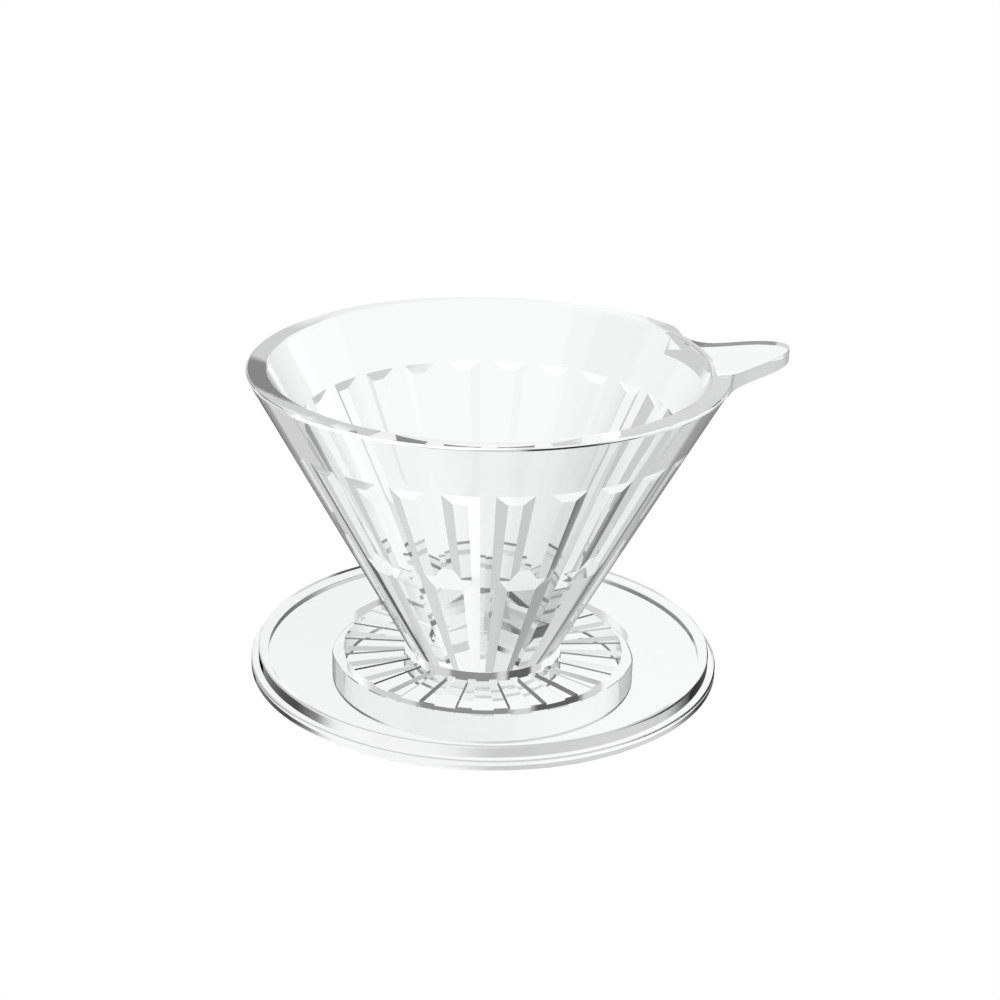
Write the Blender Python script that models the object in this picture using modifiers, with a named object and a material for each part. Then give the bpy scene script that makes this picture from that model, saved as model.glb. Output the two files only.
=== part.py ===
"""Pour-over coffee dripper: a fluted filter cone with a thumb tab, standing in a separate round base.

Lengths are in metres, +Z is up and the thumb tab points along +X. The cone's own axis is the
vertical line at AXIS_X, so that the middle of the whole object is over the origin.
"""

import math

import bmesh
import bpy
from mathutils import Vector

MM = 0.001
OBJECT_NAME = "pour_over_dripper"

# Heights above the foot of the locating ring.
PLATE_EDGE_Z = 6.0 * MM
PLATE_UNDER_Z = 7.4 * MM
PLATE_LEDGE_Z = 8.3 * MM
PLATE_TOP_Z = 10.9 * MM
RIM_Z = 77.0 * MM

# Filter cone.
RIM_RADIUS = 52.5 * MM
RIM_ROUND = 0.6 * MM
RIM_INNER_RADIUS = 47.8 * MM
WALL_TOP_Z = RIM_Z - RIM_ROUND
OUTER_SLOPE = 0.5362
INNER_SLOPE = 0.546
FLUTE_TOP_Z = 64.3 * MM
FLUTE_FLOOR_Z = 61.9 * MM
SHORT_RIB_END_Z = 43.0 * MM
SHORT_RIB_FOOT_Z = 40.2 * MM
PANEL_TOP_Z = 37.0 * MM
THROAT_TOP_Z = 9.4 * MM
THROAT_Z = 8.2 * MM
THROAT_RADIUS = 11.0 * MM
SPIGOT_RADIUS = 15.4 * MM
SPIGOT_FOOT_Z = 2.6 * MM
SPIGOT_CHAMFER = 0.8 * MM
LONG_RIBS = 12
FLUTE_DEPTH = 0.045
PANEL_DEPTH = 0.085
RIB_HALF = 2.15
FLUTE_FLOOR = (5.45, 9.55)
PANEL_FLOOR = (9.15, 11.3, 13.4)

# Thumb tab.
TAB_OUTLINE = (
    (49.3, 15.7), (50.5, 14.0), (52.1, 12.3), (54.3, 10.7), (57.9, 9.0), (60.4, 8.1),
    (62.6, 7.2), (64.8, 6.1), (66.6, 4.8), (68.1, 3.3), (69.1, 1.7), (69.4, 0.0),
)
TAB_REACH = 69.4 * MM
TAB_ROOT_RADIUS = 48.4 * MM
TAB_ROOT_HALF = 17.0
TAB_ROOT_X = 50.0 * MM
TAB_ROOT_TOP_Z = RIM_Z - 2.9 * MM
TAB_RISE = 0.13
TAB_THICK = 3.1 * MM
TAB_CHAMFER = 0.6 * MM

# The rim is cut down to the tab outside STEP_RADIUS, level up to CLEARING_FLAT degrees from the
# middle of the tab and then ramping up to the rim again at CLEARING_END.
STEP_RADIUS = 49.2 * MM
CLEARING_FLAT = 9.0
CLEARING_END = 24.0
CLEARING_REACH = 80.0 * MM
CLEARING_TOP_Z = RIM_Z + 8.0 * MM
RAMP_LIFT = 0.1 * MM
RAMP_STEPS = 6

# Base.
BASE_RADIUS = 52.9 * MM
UPPER_TIER_RADIUS = 51.2 * MM
FLANGE_INNER_RADIUS = 49.0 * MM
RING_OUTER_RADIUS = 34.4 * MM
RING_INNER_RADIUS = 31.8 * MM
HUB_RADIUS = 18.0 * MM
HUB_FOOT_Z = 2.0 * MM
FIT_GAP = 0.3 * MM
EDGE_ROUND = 0.4 * MM
BASE_RIBS = 24
BASE_RIB_HUB_HALF = 4.7
BASE_RIB_RING_HALF = 4.2
BASE_RIB_FOOT_Z = 6.2 * MM
BASE_STEPS = 120

AXIS_X = -(TAB_REACH - BASE_RADIUS) / 2


def clear_scene():
    for obj in list(bpy.data.objects):
        bpy.data.objects.remove(obj, do_unlink=True)


def new_collection(name, hidden=False):
    group = bpy.data.collections.new(name)
    bpy.context.scene.collection.children.link(group)
    group.hide_render = hidden
    return group


def clear_plastic(name, tint):
    material = bpy.data.materials.new(name)
    material.use_nodes = True
    shader = material.node_tree.nodes["Principled BSDF"]
    shader.inputs["Base Color"].default_value = (*tint, 1.0)
    shader.inputs["Roughness"].default_value = 0.03
    shader.inputs["IOR"].default_value = 1.57
    shader.inputs["Transmission Weight"].default_value = 1.0
    return material


def mesh_object(name, bm, group):
    mesh = bpy.data.meshes.new(name)
    bm.to_mesh(mesh)
    bm.free()
    obj = bpy.data.objects.new(name, mesh)
    obj.location.x = AXIS_X
    group.objects.link(obj)
    return obj


def outer_radius(z):
    return RIM_RADIUS - (WALL_TOP_Z - z) * OUTER_SLOPE


def inner_radius(z):
    return RIM_INNER_RADIUS - (WALL_TOP_Z - z) * INNER_SLOPE


def mirrored(half):
    """Angles from one long rib to the next, from those up to the middle of the gap between them."""
    period = 360.0 / LONG_RIBS
    return list(half) + [period - angle for angle in reversed(half)]


FLUTED = mirrored((RIB_HALF, *FLUTE_FLOOR, 180.0 / LONG_RIBS - RIB_HALF))
PANELLED = mirrored((RIB_HALF, *PANEL_FLOOR))


def ring(angles, radii, z):
    """One closed row of points round the axis; the tab lies over a short rib."""
    period = 360.0 / LONG_RIBS
    row = []
    for rib in range(LONG_RIBS):
        for angle, radius in zip(angles, radii):
            turn = math.radians((rib + 0.5) * period + angle)
            row.append(Vector((radius * math.cos(turn), radius * math.sin(turn), z)))
    return row


def round_ring(radius, z, angles=FLUTED):
    return ring(angles, [radius] * len(angles), z)


def chord_radii(angles, first, last, radius):
    """Radii that put the points from first to last on a straight line, the ends being at radius."""
    middle = math.radians((angles[first] + angles[last]) / 2)
    distance = radius * math.cos(math.radians(angles[last]) - middle)
    return [distance / math.cos(math.radians(angle) - middle) for angle in angles[first : last + 1]]


def fluted_ring(z, short_ribs=True):
    """Twelve long ribs with a short one between each two, or with the short ones run out."""
    face = inner_radius(z)
    floor = face * (1 + FLUTE_DEPTH)
    if short_ribs:
        radii = [face, floor, floor, face, face, floor, floor, face]
    else:
        radii = [face, floor, *chord_radii(FLUTED, 2, 5, floor), floor, face]
    return ring(FLUTED, radii, z)


def panelled_ring(z):
    """Twelve long ribs with one flat floor between each two."""
    face = inner_radius(z)
    return ring(PANELLED, [face, *chord_radii(PANELLED, 1, 6, face * (1 + PANEL_DEPTH)), face], z)


def join_rings(bm, rows):
    """Skins closed rows into a closed body. Each skew patch folds where the depth changes most."""
    rows = [[bm.verts.new(point) for point in row] for row in rows]
    for upper, lower in zip(rows, rows[1:] + rows[:1]):
        count = len(upper)
        for here in range(count):
            there = (here + 1) % count
            a, b, c, d = upper[here], upper[there], lower[there], lower[here]
            depth = [vert.co.xy.length - inner_radius(vert.co.z) for vert in (a, b, c, d)]
            if abs(depth[0] - depth[2]) >= abs(depth[1] - depth[3]):
                bm.faces.new((a, b, c))
                bm.faces.new((a, c, d))
            else:
                bm.faces.new((a, b, d))
                bm.faces.new((b, c, d))
    bmesh.ops.recalc_face_normals(bm, faces=bm.faces)


def cone_rows():
    """Rows up the outside from the spigot, over the rim, and down the fluted inside to the outlet."""
    seat_z = PLATE_TOP_Z + FIT_GAP
    turn = math.radians(45)
    rows = [
        round_ring(THROAT_RADIUS, SPIGOT_FOOT_Z),
        round_ring(SPIGOT_RADIUS - SPIGOT_CHAMFER, SPIGOT_FOOT_Z),
        round_ring(SPIGOT_RADIUS, SPIGOT_FOOT_Z + SPIGOT_CHAMFER),
        round_ring(SPIGOT_RADIUS, seat_z),
        round_ring(outer_radius(seat_z), seat_z),
        round_ring(RIM_RADIUS, WALL_TOP_Z),
        round_ring(RIM_RADIUS - RIM_ROUND * (1 - math.cos(turn)), WALL_TOP_Z + RIM_ROUND * math.sin(turn)),
        round_ring(RIM_RADIUS - RIM_ROUND, RIM_Z),
        round_ring(RIM_INNER_RADIUS + RIM_ROUND, RIM_Z),
        round_ring(RIM_INNER_RADIUS, WALL_TOP_Z),
        round_ring(inner_radius(FLUTE_TOP_Z), FLUTE_TOP_Z),
        fluted_ring(FLUTE_FLOOR_Z),
        fluted_ring(SHORT_RIB_END_Z),
        fluted_ring(SHORT_RIB_FOOT_Z, short_ribs=False),
        panelled_ring(PANEL_TOP_Z),
        panelled_ring(THROAT_TOP_Z),
        round_ring(THROAT_RADIUS, THROAT_Z, PANELLED),
    ]
    return rows


def tab_top(x):
    return TAB_ROOT_TOP_Z + (x - TAB_ROOT_X) * TAB_RISE


def tab_bottom(x):
    return tab_top(x) - TAB_THICK


def prism(name, outline, bottom, top, group):
    """A closed block over a plan outline, between two heights that are functions of x."""
    bm = bmesh.new()
    low = [bm.verts.new((x, y, bottom(x))) for x, y in outline]
    high = [bm.verts.new((x, y, top(x))) for x, y in outline]
    bm.faces.new(low)
    bm.faces.new(high)
    for here in range(len(outline)):
        there = (here + 1) % len(outline)
        bm.faces.new((low[here], low[there], high[there], high[here]))
    bmesh.ops.recalc_face_normals(bm, faces=bm.faces)
    return mesh_object(name, bm, group)


def tab_clearing(group):
    """The cutter that takes the rim down to the tab. Its floor ramps back up to the rim on both sides."""
    bm = bmesh.new()
    sections = []
    ramp = CLEARING_END - CLEARING_FLAT
    angles = [CLEARING_FLAT + ramp * step / RAMP_STEPS for step in range(RAMP_STEPS + 1)]
    for angle in [-turn for turn in reversed(angles)] + [0.0] + angles:
        share = max(0.0, (abs(angle) - CLEARING_FLAT) / ramp)
        share = share * share * (3 - 2 * share)
        turn = math.radians(angle)
        section = []
        for radius in (STEP_RADIUS, CLEARING_REACH):
            x, y = radius * math.cos(turn), radius * math.sin(turn)
            low = tab_top(x)
            section.append(bm.verts.new((x, y, low + (RIM_Z + RAMP_LIFT - low) * share)))
            section.append(bm.verts.new((x, y, CLEARING_TOP_Z)))
        sections.append(section)
    for (a, b, c, d), (e, f, g, h) in zip(sections, sections[1:]):
        for corners in ((a, e, g), (a, g, c), (c, g, h, d), (d, h, f, b), (b, f, e, a)):
            bm.faces.new(corners)
    for a, b, c, d in (sections[0], sections[-1]):
        bm.faces.new((a, b, d, c))
    bmesh.ops.recalc_face_normals(bm, faces=bm.faces)
    return mesh_object("tab_clearing", bm, group)


def arc(radius, half_angle, steps):
    """Plan points round the axis from -half_angle to half_angle."""
    turns = [math.radians(half_angle * (2 * step / steps - 1)) for step in range(steps + 1)]
    return [(radius * math.cos(turn), radius * math.sin(turn)) for turn in turns]


def boolean(obj, operation, operand):
    modifier = obj.modifiers.new(operation.title() + "_" + operand.name, "BOOLEAN")
    modifier.operation = operation
    modifier.solver = "EXACT"
    modifier.object = operand
    return modifier


def build_cone(group, helpers):
    bm = bmesh.new()
    join_rings(bm, cone_rows())
    cone = mesh_object("filter_cone", bm, group)

    side = [(x * MM, y * MM) for x, y in TAB_OUTLINE]
    outline = side + [(x, -y) for x, y in reversed(side[:-1])]
    outline += arc(TAB_ROOT_RADIUS, TAB_ROOT_HALF, 6)
    tab = prism("tab_block", outline, tab_bottom, lambda x: RIM_Z, helpers)
    clearing = tab_clearing(helpers)
    boolean(tab, "DIFFERENCE", clearing)
    chamfer = tab.modifiers.new("Tab_edges", "BEVEL")
    chamfer.width = TAB_CHAMFER
    chamfer.segments = 1
    chamfer.limit_method = "ANGLE"
    chamfer.angle_limit = math.radians(60)
    boolean(cone, "DIFFERENCE", clearing)
    boolean(cone, "UNION", tab)
    return cone


def base_profile():
    """Half section of the base, clockwise from the top of the bore: out, down, and back in."""
    bore = SPIGOT_RADIUS + FIT_GAP
    return [
        (bore, PLATE_TOP_Z),
        (UPPER_TIER_RADIUS - EDGE_ROUND, PLATE_TOP_Z),
        (UPPER_TIER_RADIUS, PLATE_TOP_Z - EDGE_ROUND),
        (UPPER_TIER_RADIUS, PLATE_LEDGE_Z),
        (BASE_RADIUS - EDGE_ROUND, PLATE_LEDGE_Z),
        (BASE_RADIUS, PLATE_LEDGE_Z - EDGE_ROUND),
        (BASE_RADIUS, PLATE_EDGE_Z + EDGE_ROUND),
        (BASE_RADIUS - EDGE_ROUND, PLATE_EDGE_Z),
        (FLANGE_INNER_RADIUS, PLATE_EDGE_Z),
        (FLANGE_INNER_RADIUS, PLATE_UNDER_Z),
        (RING_OUTER_RADIUS, PLATE_UNDER_Z),
        (RING_OUTER_RADIUS, EDGE_ROUND),
        (RING_OUTER_RADIUS - EDGE_ROUND, 0.0),
        (RING_INNER_RADIUS, 0.0),
        (RING_INNER_RADIUS, PLATE_UNDER_Z),
        (HUB_RADIUS, PLATE_UNDER_Z),
        (HUB_RADIUS, HUB_FOOT_Z),
        (bore, HUB_FOOT_Z),
    ]


def build_base(group, helpers):
    bm = bmesh.new()
    corners = [bm.verts.new((radius, 0.0, z)) for radius, z in base_profile()]
    for here, there in zip(corners, corners[1:] + corners[:1]):
        bm.edges.new((here, there))
    base = mesh_object("base", bm, group)
    spin = base.modifiers.new("Turned", "SCREW")
    spin.steps = spin.render_steps = BASE_STEPS
    spin.use_merge_vertices = True
    spin.merge_threshold = 0.00001

    bm = bmesh.new()
    sink = 0.5 * MM
    hub_half, ring_half = math.radians(BASE_RIB_HUB_HALF), math.radians(BASE_RIB_RING_HALF)
    for rib in range(BASE_RIBS):
        middle = 2 * math.pi * rib / BASE_RIBS
        ends = [(HUB_RADIUS - sink, middle - hub_half), (RING_INNER_RADIUS + sink, middle - ring_half),
                (RING_INNER_RADIUS + sink, middle + ring_half), (HUB_RADIUS - sink, middle + hub_half)]
        plan = [(radius * math.cos(turn), radius * math.sin(turn)) for radius, turn in ends]
        foot = [bm.verts.new((x, y, BASE_RIB_FOOT_Z)) for x, y in plan]
        face = bm.faces.new(foot)
        raised = bmesh.ops.extrude_face_region(bm, geom=[face])
        top = [item for item in raised["geom"] if isinstance(item, bmesh.types.BMVert)]
        bmesh.ops.translate(bm, verts=top, vec=(0, 0, PLATE_UNDER_Z + sink - BASE_RIB_FOOT_Z))
    bmesh.ops.recalc_face_normals(bm, faces=bm.faces)
    boolean(base, "UNION", mesh_object("base_rib_blocks", bm, helpers))
    return base


def main():
    clear_scene()
    group = new_collection(OBJECT_NAME)
    helpers = new_collection("helpers", hidden=True)
    cone = build_cone(group, helpers)
    base = build_base(group, helpers)
    cone.data.materials.append(clear_plastic("clear_cone_plastic", (0.97, 0.98, 0.98)))
    base.data.materials.append(clear_plastic("clear_base_plastic", (0.96, 0.97, 0.97)))
    for helper in helpers.objects:
        helper.hide_render = True
        helper.display_type = "WIRE"


main()
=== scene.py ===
"""Looks for the pour over dripper: fine smooth meshes of the two clear mouldings in a bright studio."""

import math

import bmesh
import bpy
from mathutils import Matrix, Vector


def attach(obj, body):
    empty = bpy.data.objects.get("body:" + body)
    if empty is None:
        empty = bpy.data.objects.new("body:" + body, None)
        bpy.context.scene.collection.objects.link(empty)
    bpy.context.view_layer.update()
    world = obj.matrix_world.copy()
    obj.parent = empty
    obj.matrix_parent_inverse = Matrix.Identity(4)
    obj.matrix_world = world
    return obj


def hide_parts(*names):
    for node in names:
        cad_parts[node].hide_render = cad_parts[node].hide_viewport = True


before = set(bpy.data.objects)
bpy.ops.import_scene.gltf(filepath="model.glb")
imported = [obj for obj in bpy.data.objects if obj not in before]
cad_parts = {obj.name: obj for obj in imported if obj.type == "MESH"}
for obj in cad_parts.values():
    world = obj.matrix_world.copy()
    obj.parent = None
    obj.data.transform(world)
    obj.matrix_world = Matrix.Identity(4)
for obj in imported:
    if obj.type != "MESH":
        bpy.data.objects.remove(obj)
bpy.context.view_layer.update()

MM = 0.001

# The same sizes as the CAD part.
PLATE_EDGE_Z = 6.0 * MM
PLATE_UNDER_Z = 7.4 * MM
PLATE_LEDGE_Z = 8.3 * MM
PLATE_TOP_Z = 10.9 * MM
RIM_Z = 77.0 * MM
RIM_RADIUS = 52.5 * MM
RIM_ROUND = 0.6 * MM
RIM_INNER_RADIUS = 47.8 * MM
WALL_TOP_Z = RIM_Z - RIM_ROUND
OUTER_SLOPE = 0.5362
INNER_SLOPE = 0.546
FLUTE_TOP_Z = 64.3 * MM
FLUTE_FLOOR_Z = 61.9 * MM
SHORT_RIB_END_Z = 43.0 * MM
SHORT_RIB_FOOT_Z = 40.2 * MM
PANEL_TOP_Z = 37.0 * MM
THROAT_TOP_Z = 9.4 * MM
THROAT_Z = 8.2 * MM
THROAT_RADIUS = 11.0 * MM
SPIGOT_RADIUS = 15.4 * MM
SPIGOT_FOOT_Z = 2.6 * MM
SPIGOT_CHAMFER = 0.8 * MM
LONG_RIBS = 12
PERIOD = 360.0 / LONG_RIBS
FLUTE_DEPTH = 0.045
PANEL_DEPTH = 0.085
RIB_HALF = 2.15
FLUTE_FLOOR = (5.45, 9.55)
PANEL_FLOOR = (9.15, 11.3, 13.4)
TAB_OUTLINE = (
    (49.3, 15.7), (50.5, 14.0), (52.1, 12.3), (54.3, 10.7), (57.9, 9.0), (60.4, 8.1),
    (62.6, 7.2), (64.8, 6.1), (66.6, 4.8), (68.1, 3.3), (69.1, 1.7), (69.4, 0.0),
)
TAB_REACH = 69.4 * MM
TAB_ROOT_RADIUS = 48.4 * MM
TAB_ROOT_HALF = 17.0
TAB_ROOT_X = 50.0 * MM
TAB_ROOT_TOP_Z = RIM_Z - 2.9 * MM
TAB_RISE = 0.13
TAB_THICK = 3.1 * MM
TAB_EDGE_ROUND = 0.7 * MM
STEP_RADIUS = 49.2 * MM
CLEARING_FLAT = 9.0
CLEARING_END = 24.0
CLEARING_REACH = 80.0 * MM
CLEARING_TOP_Z = RIM_Z + 8.0 * MM
RAMP_LIFT = 0.1 * MM
BASE_RADIUS = 52.9 * MM
UPPER_TIER_RADIUS = 51.2 * MM
FLANGE_INNER_RADIUS = 49.0 * MM
RING_OUTER_RADIUS = 34.4 * MM
RING_INNER_RADIUS = 31.8 * MM
HUB_RADIUS = 18.0 * MM
HUB_FOOT_Z = 2.0 * MM
FIT_GAP = 0.3 * MM
EDGE_ROUND = 0.4 * MM
BASE_RIBS = 24
BASE_RIB_HUB_HALF = 4.7
BASE_RIB_RING_HALF = 4.2
BASE_RIB_FOOT_Z = 6.2 * MM
BASE_STEPS = 288
AXIS_X = -(TAB_REACH - BASE_RADIUS) / 2

# How many fine steps each stretch of a row round the cone is cut into, and the other fine shapes.
RIB_STEPS = 4
SLOPE_STEPS = 3
FLOOR_STEPS = 4
RAMP_STEPS = 16
RIM_ROUND_STEPS = 5
EDGE_ROUND_STEPS = 4
SMOOTH_ANGLE = math.radians(9)
SINK = 0.5 * MM


def outer_radius(z):
    return RIM_RADIUS - (WALL_TOP_Z - z) * OUTER_SLOPE


def inner_radius(z):
    return RIM_INNER_RADIUS - (WALL_TOP_Z - z) * INNER_SLOPE


def mirrored(half):
    return list(half) + [PERIOD - angle for angle in reversed(half)]


FLUTED = mirrored((RIB_HALF, *FLUTE_FLOOR, PERIOD / 2 - RIB_HALF))
PANELLED = mirrored((RIB_HALF, *PANEL_FLOOR))
# The stretch after each angle: slope, floor, slope, short rib, slope, floor, slope, long rib.
STRETCH_STEPS = (SLOPE_STEPS, FLOOR_STEPS, SLOPE_STEPS, RIB_STEPS) * 2


def polar(radius, angle, z):
    turn = math.radians(angle)
    return Vector((radius * math.cos(turn), radius * math.sin(turn), z))


class Row:
    """Points round the axis, as a list of stretches. A stretch ends where the next one starts."""

    def __init__(self, angles, radii, z, curved):
        self.stretches = []
        count = len(angles)
        for rib in range(LONG_RIBS):
            start = (rib + 0.5) * PERIOD
            for index in range(count):
                after = (index + 1) % count
                first = angles[index]
                last = angles[after] + (0 if after else PERIOD)
                near, far = radii[index], radii[after]
                steps = STRETCH_STEPS[index] if curved[index] else 1
                points = []
                for step in range(steps):
                    share = step / steps
                    angle = start + first + (last - first) * share
                    points.append(polar(near + (far - near) * share, angle, z))
                self.stretches.append(points)


def round_row(radius, z, angles=FLUTED):
    return Row(angles, [radius] * 8, z, [True] * 8)


def chord_radii(angles, first, last, radius):
    middle = math.radians((angles[first] + angles[last]) / 2)
    distance = radius * math.cos(math.radians(angles[last]) - middle)
    return [distance / math.cos(math.radians(angle) - middle) for angle in angles[first : last + 1]]


def fluted_row(z, short_ribs=True):
    face = inner_radius(z)
    floor = face * (1 + FLUTE_DEPTH)
    if short_ribs:
        radii = [face, floor, floor, face, face, floor, floor, face]
    else:
        radii = [face, floor, *chord_radii(FLUTED, 2, 5, floor), floor, face]
    return Row(FLUTED, radii, z, [False] * 3 + [short_ribs] + [False] * 3 + [True])


def panelled_row(z):
    face = inner_radius(z)
    radii = [face, *chord_radii(PANELLED, 1, 6, face * (1 + PANEL_DEPTH)), face]
    return Row(PANELLED, radii, z, [False] * 7 + [True])


def skin(bm, rows):
    """Joins closed rows, the last one to the first, into one closed body."""
    made = [[[bm.verts.new(point) for point in stretch] for stretch in row.stretches] for row in rows]
    for upper, lower in zip(made, made[1:] + made[:1]):
        count = len(upper)
        for index in range(count):
            top = upper[index] + [upper[(index + 1) % count][0]]
            bottom = lower[index] + [lower[(index + 1) % count][0]]
            if len(top) == len(bottom) > 2:
                for here in range(len(top) - 1):
                    bm.faces.new((top[here], top[here + 1], bottom[here + 1], bottom[here]))
            else:
                fold(bm, top, bottom)


def depth(vert):
    return vert.co.xy.length - inner_radius(vert.co.z)


def fold(bm, top, bottom):
    """Fills one patch whose two edges differ, folding it from the deeper corner of the plainer edge."""
    if len(top) < len(bottom):
        top, bottom = bottom, top
    if len(bottom) == 2:
        left, right = depth(bottom[0]), depth(bottom[1])
        level = abs(left - right) < 0.05 * MM
        if len(top) == 2:
            skew = abs(depth(top[0]) - right) >= abs(depth(top[1]) - left)
            turn = 0 if skew else 1
        else:
            turn = (len(top) - 1) // 2 if level else (0 if right > left else len(top) - 1)
        for here in range(len(top) - 1):
            bm.faces.new((top[here], top[here + 1], bottom[0] if here < turn else bottom[1]))
        bm.faces.new((top[turn], bottom[1], bottom[0]))


def quarter(radius, centre_r, centre_z, start, end, steps):
    """Radius and height of points along a fillet, from one angle to the other in degrees."""
    for step in range(steps + 1):
        turn = math.radians(start + (end - start) * step / steps)
        yield centre_r + radius * math.cos(turn), centre_z + radius * math.sin(turn)


def cone_rows():
    seat_z = PLATE_TOP_Z + FIT_GAP
    rows = [
        round_row(THROAT_RADIUS, SPIGOT_FOOT_Z),
        round_row(SPIGOT_RADIUS - SPIGOT_CHAMFER, SPIGOT_FOOT_Z),
        round_row(SPIGOT_RADIUS, SPIGOT_FOOT_Z + SPIGOT_CHAMFER),
        round_row(SPIGOT_RADIUS, seat_z),
        round_row(outer_radius(seat_z), seat_z),
    ]
    outer_centre, inner_centre = RIM_RADIUS - RIM_ROUND, RIM_INNER_RADIUS + RIM_ROUND
    for radius, z in quarter(RIM_ROUND, outer_centre, WALL_TOP_Z, 0, 90, RIM_ROUND_STEPS):
        rows.append(round_row(radius, z))
    for radius, z in quarter(RIM_ROUND, inner_centre, WALL_TOP_Z, 90, 180, RIM_ROUND_STEPS):
        rows.append(round_row(radius, z))
    rows += [
        round_row(inner_radius(FLUTE_TOP_Z), FLUTE_TOP_Z),
        fluted_row(FLUTE_FLOOR_Z),
        fluted_row(SHORT_RIB_END_Z),
        fluted_row(SHORT_RIB_FOOT_Z, short_ribs=False),
        panelled_row(PANEL_TOP_Z),
        panelled_row(THROAT_TOP_Z),
        round_row(THROAT_RADIUS, THROAT_Z, PANELLED),
    ]
    return rows


def mesh_object(name, bm):
    bmesh.ops.recalc_face_normals(bm, faces=bm.faces)
    mesh = bpy.data.meshes.new(name)
    bm.to_mesh(mesh)
    bm.free()
    obj = bpy.data.objects.new(name, mesh)
    bpy.context.scene.collection.objects.link(obj)
    return obj


def tab_top(x):
    return TAB_ROOT_TOP_Z + (x - TAB_ROOT_X) * TAB_RISE


def tab_bottom(x):
    return tab_top(x) - TAB_THICK


def arc(radius, half_angle, steps):
    """Plan points round the axis from -half_angle to half_angle."""
    turns = [math.radians(half_angle * (2 * step / steps - 1)) for step in range(steps + 1)]
    return [(radius * math.cos(turn), radius * math.sin(turn)) for turn in turns]


def prism(name, outline, bottom, top):
    """A closed block over a plan outline, between two heights that are functions of x."""
    bm = bmesh.new()
    low = [bm.verts.new((x, y, bottom(x))) for x, y in outline]
    high = [bm.verts.new((x, y, top(x))) for x, y in outline]
    bm.faces.new(low)
    bm.faces.new(high)
    for here in range(len(outline)):
        there = (here + 1) % len(outline)
        bm.faces.new((low[here], low[there], high[there], high[here]))
    return mesh_object(name, bm)


def tab_clearing():
    """The block that cuts the rim down to the tab: its floor ramps back up to the rim on both sides."""
    bm = bmesh.new()
    sections = []
    ramp = CLEARING_END - CLEARING_FLAT
    angles = [CLEARING_FLAT + ramp * step / RAMP_STEPS for step in range(RAMP_STEPS + 1)]
    for angle in [-turn for turn in reversed(angles)] + [0.0] + angles:
        share = max(0.0, (abs(angle) - CLEARING_FLAT) / ramp)
        share = share * share * (3 - 2 * share)
        turn = math.radians(angle)
        section = []
        for radius in (STEP_RADIUS, CLEARING_REACH):
            x, y = radius * math.cos(turn), radius * math.sin(turn)
            low = tab_top(x)
            section.append(bm.verts.new((x, y, low + (RIM_Z + RAMP_LIFT - low) * share)))
            section.append(bm.verts.new((x, y, CLEARING_TOP_Z)))
        sections.append(section)
    for (a, b, c, d), (e, f, g, h) in zip(sections, sections[1:]):
        for corners in ((a, e, g), (a, g, c), (c, g, h, d), (d, h, f, b), (b, f, e, a)):
            bm.faces.new(corners)
    for a, b, c, d in (sections[0], sections[-1]):
        bm.faces.new((a, b, d, c))
    return mesh_object("tab_clearing", bm)


def boolean(obj, operation, operand):
    modifier = obj.modifiers.new(operation.title(), "BOOLEAN")
    modifier.operation = operation
    modifier.solver = "EXACT"
    modifier.object = operand


def round_edges(obj, width, segments, angle):
    """Rounds the edges that are sharper than angle degrees."""
    modifier = obj.modifiers.new("Edges", "BEVEL")
    modifier.width = width
    modifier.segments = segments
    modifier.limit_method = "ANGLE"
    modifier.angle_limit = math.radians(angle)


def settle(obj, helpers):
    """Applies the modifiers, removes the helper objects and shades the round parts smooth."""
    graph = bpy.context.evaluated_depsgraph_get()
    mesh = bpy.data.meshes.new_from_object(obj.evaluated_get(graph), depsgraph=graph)
    obj.modifiers.clear()
    obj.data = mesh
    for helper in helpers:
        bpy.data.objects.remove(helper, do_unlink=True)
    mesh.shade_smooth()
    mesh.set_sharp_from_angle(angle=SMOOTH_ANGLE)
    mesh.transform(Matrix.Translation((AXIS_X, 0, 0)))
    return obj


def smooth_outline(points, rounds=2):
    """Cuts the corners of a plan outline, keeping its two end points."""
    for _ in range(rounds):
        finer = [points[0]]
        for (ax, ay), (bx, by) in zip(points, points[1:]):
            finer.append((0.75 * ax + 0.25 * bx, 0.75 * ay + 0.25 * by))
            finer.append((0.25 * ax + 0.75 * bx, 0.25 * ay + 0.75 * by))
        finer.append(points[-1])
        points = finer
    return points


def build_cone():
    """The cone with its tab. The tab and the rim are cut by the same block, then joined."""
    bm = bmesh.new()
    skin(bm, cone_rows())
    cone = mesh_object("cone_clear", bm)

    side = [(x * MM, y * MM) for x, y in TAB_OUTLINE]
    outline = smooth_outline(side + [(x, -y) for x, y in reversed(side[:-1])])
    outline += arc(TAB_ROOT_RADIUS, TAB_ROOT_HALF, 10)
    tab = prism("tab_block", outline, tab_bottom, lambda x: RIM_Z)
    clearing = tab_clearing()
    boolean(tab, "DIFFERENCE", clearing)
    round_edges(tab, TAB_EDGE_ROUND, EDGE_ROUND_STEPS, 60)
    boolean(cone, "DIFFERENCE", clearing)
    boolean(cone, "UNION", tab)
    return settle(cone, [tab, clearing])


def rounded_corner(radius, z, start, end):
    """The fillet of one corner of the base, at an outer radius and the height of its centre."""
    return quarter(EDGE_ROUND, radius - EDGE_ROUND, z, start, end, EDGE_ROUND_STEPS)


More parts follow.
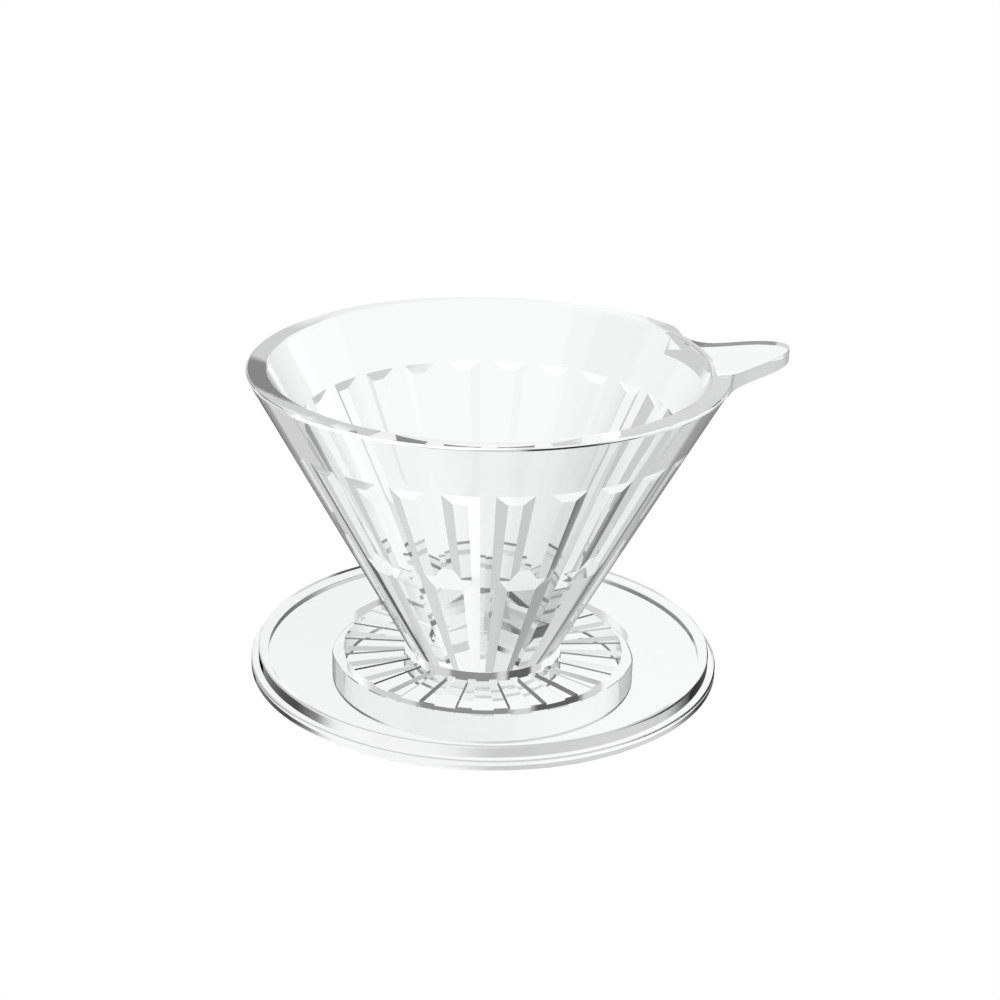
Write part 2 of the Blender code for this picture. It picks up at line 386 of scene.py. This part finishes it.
def base_profile():
    """Half section of the base, from the top of the bore out, down, and back in under the plate."""
    bore = SPIGOT_RADIUS + FIT_GAP
    profile = [(bore, PLATE_TOP_Z)]
    profile += rounded_corner(UPPER_TIER_RADIUS, PLATE_TOP_Z - EDGE_ROUND, 90, 0)
    profile += [(UPPER_TIER_RADIUS, PLATE_LEDGE_Z)]
    profile += rounded_corner(BASE_RADIUS, PLATE_LEDGE_Z - EDGE_ROUND, 90, 0)
    profile += rounded_corner(BASE_RADIUS, PLATE_EDGE_Z + EDGE_ROUND, 0, -90)
    profile += [
        (FLANGE_INNER_RADIUS, PLATE_EDGE_Z),
        (FLANGE_INNER_RADIUS, PLATE_UNDER_Z),
        (RING_OUTER_RADIUS, PLATE_UNDER_Z),
    ]
    profile += rounded_corner(RING_OUTER_RADIUS, EDGE_ROUND, 0, -90)
    profile += [
        (RING_INNER_RADIUS, 0.0),
        (RING_INNER_RADIUS, PLATE_UNDER_Z),
        (HUB_RADIUS, PLATE_UNDER_Z),
        (HUB_RADIUS, HUB_FOOT_Z),
        (bore, HUB_FOOT_Z),
    ]
    return profile


def base_rib_blocks():
    """The radial ribs between the hub and the locating ring, sunk a little into all that they join."""
    bm = bmesh.new()
    hub, ring = HUB_RADIUS - SINK, RING_INNER_RADIUS + SINK
    corners = (
        (hub, -BASE_RIB_HUB_HALF),
        (ring, -BASE_RIB_RING_HALF),
        (ring, BASE_RIB_RING_HALF),
        (hub, BASE_RIB_HUB_HALF),
    )
    for rib in range(BASE_RIBS):
        middle = 360.0 * rib / BASE_RIBS
        plan = [polar(radius, middle + turn, BASE_RIB_FOOT_Z) for radius, turn in corners]
        face = bm.faces.new([bm.verts.new(point) for point in plan])
        raised = bmesh.ops.extrude_face_region(bm, geom=[face])
        top = [item for item in raised["geom"] if isinstance(item, bmesh.types.BMVert)]
        bmesh.ops.translate(bm, verts=top, vec=(0, 0, PLATE_UNDER_Z + SINK - BASE_RIB_FOOT_Z))
    return mesh_object("base_rib_blocks", bm)


def build_base():
    bm = bmesh.new()
    corners = [bm.verts.new((radius, 0.0, z)) for radius, z in base_profile()]
    edges = [bm.edges.new((here, there)) for here, there in zip(corners, corners[1:] + corners[:1])]
    bmesh.ops.spin(
        bm, geom=corners + edges, axis=(0, 0, 1), cent=(0, 0, 0), steps=BASE_STEPS, angle=2 * math.pi
    )
    bmesh.ops.remove_doubles(bm, verts=bm.verts, dist=0.001 * MM)
    base = mesh_object("base_clear", bm)
    blocks = base_rib_blocks()
    boolean(base, "UNION", blocks)
    return settle(base, [blocks])


# Clear moulded copolyester.
PLASTIC_IOR = 1.57
POLISH_SCALE = 240.0
POLISH_DETAIL = 5.0
MOST_ROUGHNESS = 0.03
WAVE_STRENGTH = 0.05
WAVE_HEIGHT = 0.25 * MM
DEPTH_TINT = (0.82, 0.88, 0.9, 1.0)
DEPTH_DENSITY = 1.5


def clear_plastic(name, tint, wave_scale):
    """Clear plastic with faint flow waves, fine polish marks and a slight cool tint with depth."""
    material = bpy.data.materials.new(name)
    material.use_nodes = True
    tree = material.node_tree
    tree.nodes.clear()
    out = tree.nodes.new("ShaderNodeOutputMaterial")
    shader = tree.nodes.new("ShaderNodeBsdfPrincipled")
    shader.inputs["Base Color"].default_value = (*tint, 1.0)
    shader.inputs["IOR"].default_value = PLASTIC_IOR
    shader.inputs["Transmission Weight"].default_value = 1.0
    coords = tree.nodes.new("ShaderNodeTexCoord")
    polish = tree.nodes.new("ShaderNodeTexNoise")
    polish.inputs["Scale"].default_value = POLISH_SCALE
    polish.inputs["Detail"].default_value = POLISH_DETAIL
    span = tree.nodes.new("ShaderNodeMapRange")
    span.inputs["To Min"].default_value = 0.0
    span.inputs["To Max"].default_value = MOST_ROUGHNESS
    waves = tree.nodes.new("ShaderNodeTexNoise")
    waves.inputs["Scale"].default_value = wave_scale
    waves.inputs["Detail"].default_value = 1.0
    bump = tree.nodes.new("ShaderNodeBump")
    bump.inputs["Strength"].default_value = WAVE_STRENGTH
    bump.inputs["Distance"].default_value = WAVE_HEIGHT
    link = tree.links.new
    link(coords.outputs["Object"], polish.inputs["Vector"])
    link(coords.outputs["Object"], waves.inputs["Vector"])
    link(polish.outputs["Fac"], span.inputs["Value"])
    link(span.outputs["Result"], shader.inputs["Roughness"])
    link(waves.outputs["Fac"], bump.inputs["Height"])
    link(bump.outputs["Normal"], shader.inputs["Normal"])
    link(shader.outputs["BSDF"], out.inputs["Surface"])
    absorb = tree.nodes.new("ShaderNodeVolumeAbsorption")
    absorb.inputs["Color"].default_value = DEPTH_TINT
    absorb.inputs["Density"].default_value = DEPTH_DENSITY
    link(absorb.outputs["Volume"], out.inputs["Volume"])
    return material


def plain_white(name):
    material = bpy.data.materials.new(name)
    material.use_nodes = True
    tree = material.node_tree
    tree.nodes.clear()
    out = tree.nodes.new("ShaderNodeOutputMaterial")
    glow = tree.nodes.new("ShaderNodeEmission")
    glow.inputs["Strength"].default_value = 1.0
    tree.links.new(glow.outputs["Emission"], out.inputs["Surface"])
    return material


# The camera: focal length as a share of the picture's width, slide of the frame, angles in degrees
# and place from the foot of the cone's axis. A separate least-squares fit made these values.
CAMERA_FOCUS = 2.119
CAMERA_SHIFT = (0.1, 0.0683)
CAMERA_PITCH = 23.68
CAMERA_ROLL = 0.27
CAMERA_HEADING = 13.22
CAMERA_PLACE = Vector((-118.63, -421.98, 220.69)) * MM
CAMERA_FAR = 50.0
SENSOR_WIDTH = 36.0

# The stage, in metres.
BACKDROP_RADIUS = 6.0
FLOOR_HALF = 5.0
FLOOR_GAP = 0.0005


def add_camera():
    """A camera in front of the object and to its left, looking down on it."""
    data = bpy.data.cameras.new("camera")
    camera = bpy.data.objects.new("camera", data)
    bpy.context.scene.collection.objects.link(camera)
    bpy.context.scene.camera = camera
    data.sensor_width = SENSOR_WIDTH
    data.lens = CAMERA_FOCUS * SENSOR_WIDTH
    data.shift_x, data.shift_y = CAMERA_SHIFT
    data.clip_end = CAMERA_FAR
    pitch, roll = math.radians(CAMERA_PITCH), math.radians(CAMERA_ROLL)
    right, up = Vector((1, 0, 0)), Vector((0, math.sin(pitch), math.cos(pitch)))
    forward = Vector((0, math.cos(pitch), -math.sin(pitch)))
    x_axis = math.cos(roll) * right + math.sin(roll) * up
    y_axis = -math.sin(roll) * right + math.cos(roll) * up
    heading = Matrix.Rotation(math.radians(-CAMERA_HEADING), 3, "Z")
    rotation = heading @ Matrix((x_axis, y_axis, -forward)).transposed()
    camera.matrix_world = Matrix.Translation(CAMERA_PLACE + Vector((AXIS_X, 0, 0))) @ rotation.to_4x4()
    return camera


# The studio round the object: soft panels and black flags as azimuth and height in degrees, radius,
# soft edge and brightness. A later one covers an earlier one where they meet. The rows weren't set up
# by hand: a separate search program made them, then they were rounded, some changed, and all named.
STUDIO_GREY = 0.63
STUDIO = {
    "dark wall, right": (45, -7, 28, 2, 0.15),
    "low table light": (130, -75, 20, 2, 1.3),
    "flag, high behind": (113, 36, 23, 2, 0.0),
    "flag, low front right": (321, -65, 15, 2, 0.0),
    "strip light, back": (65, 4, 13, 2, 1.1),
    "dark front left": (240, -32, 36, 3, 0.2),
    "flag, low behind": (90, -23, 12, 2, 0.0),
    "soft light, front right": (325, -25, 20, 6, 1.05),
    "soft light, right": (14, 28, 23, 2, 1.1),
    "low light, back right": (58, -66, 24, 2, 0.95),
    "flag, left": (180, 27, 22, 2, 0.0),
    "flag, right": (40, 21, 14, 2, 0.0),
    "small light, back": (66, 24, 9, 2, 0.95),
    "grey card, right": (15, -38, 10, 2, 0.43),
}


def panel_share(tree, coords, azimuth, height, radius, soft):
    """The share, from 0 to 1, that a round panel takes of a direction."""
    turn, rise = math.radians(azimuth), math.radians(height)
    towards = (math.cos(rise) * math.cos(turn), math.cos(rise) * math.sin(turn), math.sin(rise))
    norm = tree.nodes.new("ShaderNodeVectorMath")
    norm.operation = "NORMALIZE"
    tree.links.new(coords.outputs["Generated"], norm.inputs[0])
    dot = tree.nodes.new("ShaderNodeVectorMath")
    dot.operation = "DOT_PRODUCT"
    dot.inputs[1].default_value = towards
    tree.links.new(norm.outputs["Vector"], dot.inputs[0])
    edge = tree.nodes.new("ShaderNodeMapRange")
    edge.interpolation_type = "SMOOTHSTEP"
    edge.inputs["From Min"].default_value = math.cos(math.radians(radius + soft))
    edge.inputs["From Max"].default_value = math.cos(math.radians(radius - soft))
    tree.links.new(dot.outputs["Value"], edge.inputs["Value"])
    return edge.outputs["Result"]


def studio_world():
    """The studio that the plastic mirrors, as a function of direction alone."""
    world = bpy.data.worlds.new("studio")
    bpy.context.scene.world = world
    world.use_nodes = True
    tree = world.node_tree
    coords = tree.nodes.new("ShaderNodeTexCoord")
    light = None
    for azimuth, height, radius, soft, value in STUDIO.values():
        mix = tree.nodes.new("ShaderNodeMix")
        mix.inputs["A"].default_value = STUDIO_GREY
        mix.inputs["B"].default_value = value
        if light is not None:
            tree.links.new(light, mix.inputs["A"])
        tree.links.new(panel_share(tree, coords, azimuth, height, radius, soft), mix.inputs["Factor"])
        light = mix.outputs["Result"]
    background = tree.nodes["Background"]
    background.inputs["Color"].default_value = (1, 1, 1, 1)
    tree.links.new(light, background.inputs["Strength"])


def add_stage():
    """A white floor, and a white shell round everything that only the camera sees."""
    bm = bmesh.new()
    bmesh.ops.create_uvsphere(bm, u_segments=48, v_segments=24, radius=BACKDROP_RADIUS)
    backdrop = mesh_object("backdrop", bm)
    backdrop.data.materials.append(plain_white("backdrop_white"))
    bm = bmesh.new()
    bmesh.ops.create_grid(bm, x_segments=1, y_segments=1, size=FLOOR_HALF)
    floor = mesh_object("floor", bm)
    floor.location.z = -FLOOR_GAP
    floor.data.materials.append(plain_white("floor_white"))
    for obj in (floor, backdrop):
        obj.visible_glossy = False
        obj.visible_diffuse = False
    backdrop.visible_transmission = False
    studio_world()


def set_render(scene):
    """Many bounces, for light that crosses several clear walls, and a plain view transform."""
    scene.cycles.use_denoising = True
    scene.view_settings.view_transform = "Standard"
    scene.cycles.max_bounces = 32
    scene.cycles.transmission_bounces = 32
    scene.cycles.transparent_max_bounces = 32
    scene.cycles.glossy_bounces = 16
    scene.cycles.caustics_reflective = True
    scene.cycles.caustics_refractive = True


def place(piece, body, node, material):
    """Puts a fine moulding in the place of its CAD node. Mirrored light looks past it to the studio."""
    piece.data.materials.clear()
    piece.data.materials.append(material)
    piece.visible_glossy = False
    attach(piece, body)
    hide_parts(node)


cone = build_cone()
base = build_base()
cone_plastic = clear_plastic("cone_plastic", (0.985, 0.99, 0.99), 60.0)
base_plastic = clear_plastic("base_plastic", (0.98, 0.985, 0.985), 45.0)
place(cone, "cone", "filter_cone", cone_plastic)
place(base, "base", "base", base_plastic)
add_camera()
add_stage()
set_render(bpy.context.scene)
